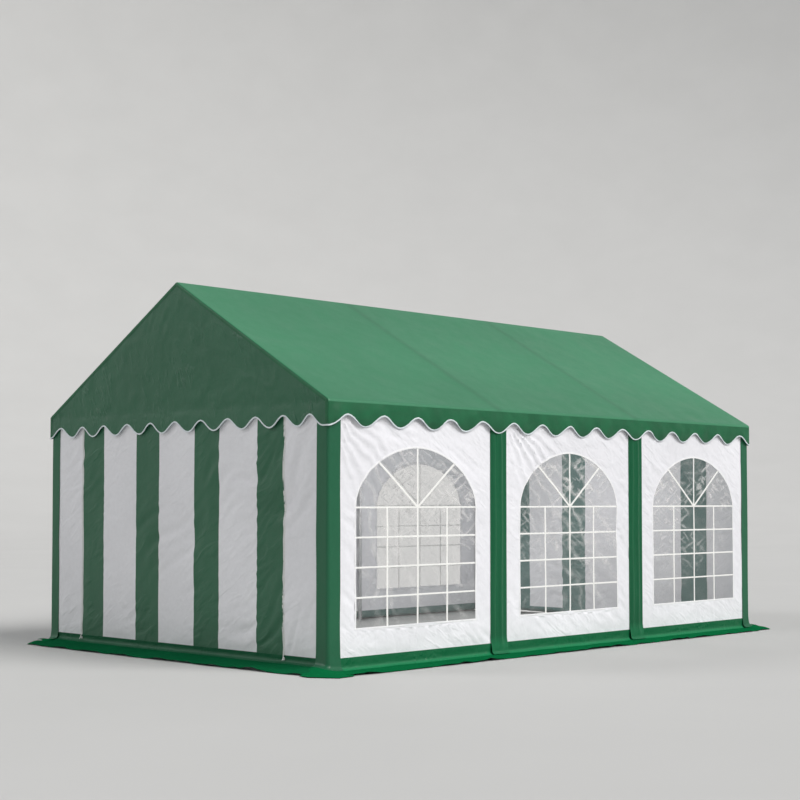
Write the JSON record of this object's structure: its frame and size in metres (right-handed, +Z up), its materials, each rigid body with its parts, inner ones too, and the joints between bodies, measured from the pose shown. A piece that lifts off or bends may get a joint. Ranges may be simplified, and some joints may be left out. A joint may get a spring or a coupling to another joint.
{
  "type": "marquee tent",
  "caption": "Gabled party marquee: green and white coated fabric over a steel tube frame, with scalloped valance, arched windows, zipped gable doors and ground flap.",
  "frame": {"origin": "on the ground, in the middle of the tent's footprint", "axes": "+Z up, +Y along the ridge from the front gable to the back gable, +X towards the right long side"},
  "size_m": [4.3, 6.54, 3.195],
  "materials": {
    "green_cover": "green coated fabric, satin",
    "white_cover": "white coated fabric, satin",
    "window_film": "clear flexible film",
    "steel_tube": "galvanised tube"
  },
  "bodies": {
    "root": {"roof_cover": "green_cover", "front_gable": "green_cover", "back_gable": "green_cover", "right_wall_1": "white_cover", "right_window_1": "window_film", "right_wall_2": "white_cover", "right_window_2": "window_film", "right_wall_3": "white_cover", "right_window_3": "window_film", "left_wall_1": "white_cover", "left_window_1": "window_film", "left_wall_2": "white_cover", "left_window_2": "window_film", "left_wall_3": "white_cover", "left_window_3": "window_film", "front_wall": "white_cover", "front_door_panel": "white_cover", "back_wall": "white_cover", "back_door_panel": "white_cover", "front_base_band": "green_cover", "front_ground_flap": "green_cover", "back_base_band": "green_cover", "back_ground_flap": "green_cover", "right_base_band": "green_cover", "right_ground_flap": "green_cover", "left_base_band": "green_cover", "left_ground_flap": "green_cover", "corner_cover_front_right": "green_cover", "corner_cover_front_left": "green_cover", "corner_cover_back_right": "green_cover", "corner_cover_back_left": "green_cover", "right_post_cover_2": "green_cover", "right_post_cover_3": "green_cover", "left_post_cover_2": "green_cover", "left_post_cover_3": "green_cover", "right_post_1": "steel_tube", "right_post_2": "steel_tube", "right_post_3": "steel_tube", "right_post_4": "steel_tube", "left_post_1": "steel_tube", "left_post_2": "steel_tube", "left_post_3": "steel_tube", "left_post_4": "steel_tube", "roof_frame_1": "steel_tube", "roof_frame_2": "steel_tube", "roof_frame_3": "steel_tube", "roof_frame_4": "steel_tube", "ridge_purlin": "steel_tube", "right_eave_purlin": "steel_tube", "left_eave_purlin": "steel_tube"}
  },
  "joints": []
}
